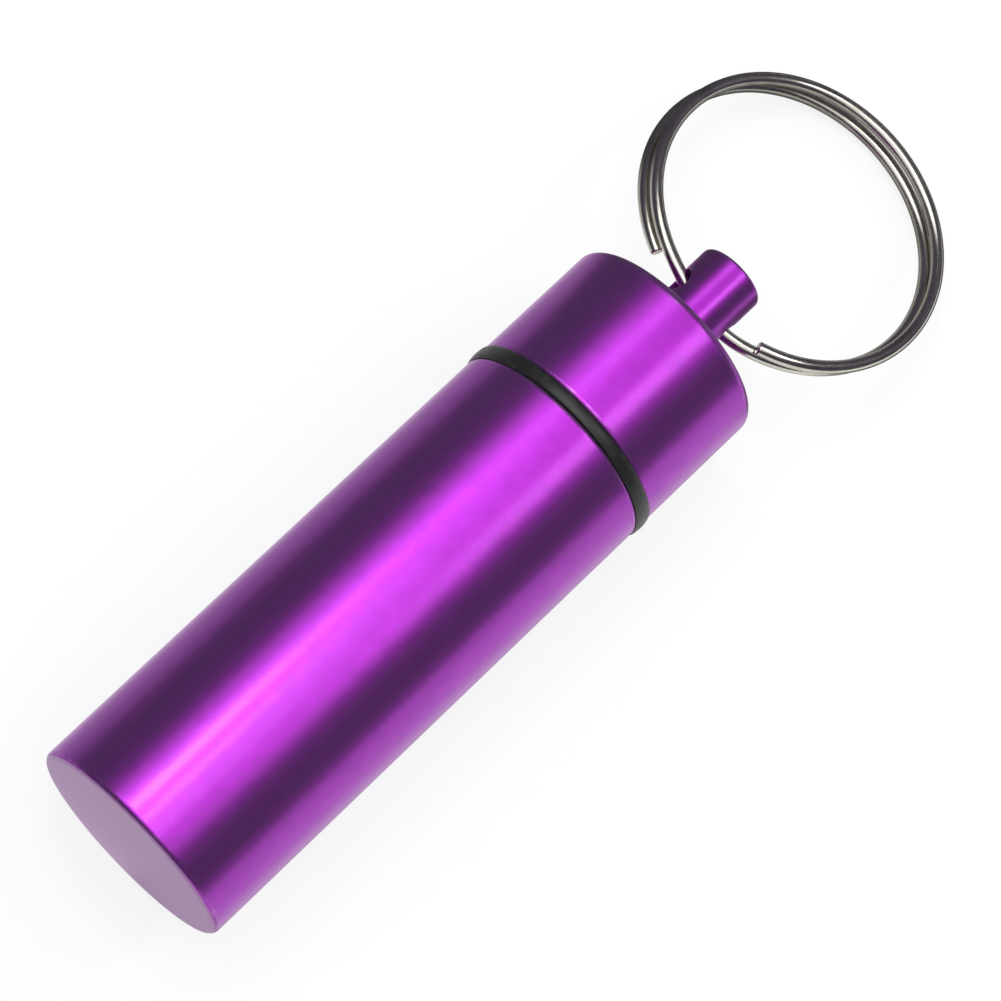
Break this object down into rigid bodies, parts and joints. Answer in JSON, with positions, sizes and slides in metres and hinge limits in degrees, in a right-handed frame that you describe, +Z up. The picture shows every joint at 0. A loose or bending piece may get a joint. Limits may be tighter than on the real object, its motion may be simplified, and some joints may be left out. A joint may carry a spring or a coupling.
{
  "type": "pill fob keychain",
  "caption": "Slim screw-top metal cylinder for carrying pills, with a rubber-sealed cap, a cross-drilled eyelet post and a split key ring.",
  "frame": {"origin": "centre of the flat base face, on the turned axis", "axes": "+X along the turned axis towards the cap and the ring, +Z up as the fob lies on its side, +Y level across it"},
  "size_m": [0.0671, 0.0204, 0.0142],
  "materials": {
    "purple_anodised": "turned and anodised purple, glossy with fine turning marks",
    "seal_rubber": "matte black",
    "ring_steel": "bright nickel-plated wire"
  },
  "bodies": {
    "container": {"container": "purple_anodised"},
    "seal": {"o_ring": "seal_rubber"},
    "cap": {"cap": "purple_anodised"},
    "key_ring": {"split_ring": "ring_steel"}
  },
  "joints": [
    {"name": "cap_turn", "type": "hinge", "parent": "container", "child": "seal", "pos_m": [0.03535, 0, 0], "axis": [1, 0, 0], "range_deg": [0, 1800]},
    {"name": "cap_rise", "type": "slide", "parent": "seal", "child": "cap", "axis": [1, 0, 0], "range_m": [0, 0.005]},
    {"name": "ring_swing", "type": "hinge", "parent": "cap", "child": "key_ring", "pos_m": [0.0477, 0, 0], "axis": [0, 0.9703, 0.2419], "range_deg": [-110, 75]}
  ],
  "couplings": [
    {"joint": "cap_rise", "follows": "cap_turn", "m_per_rad": 0.00015915}
  ]
}
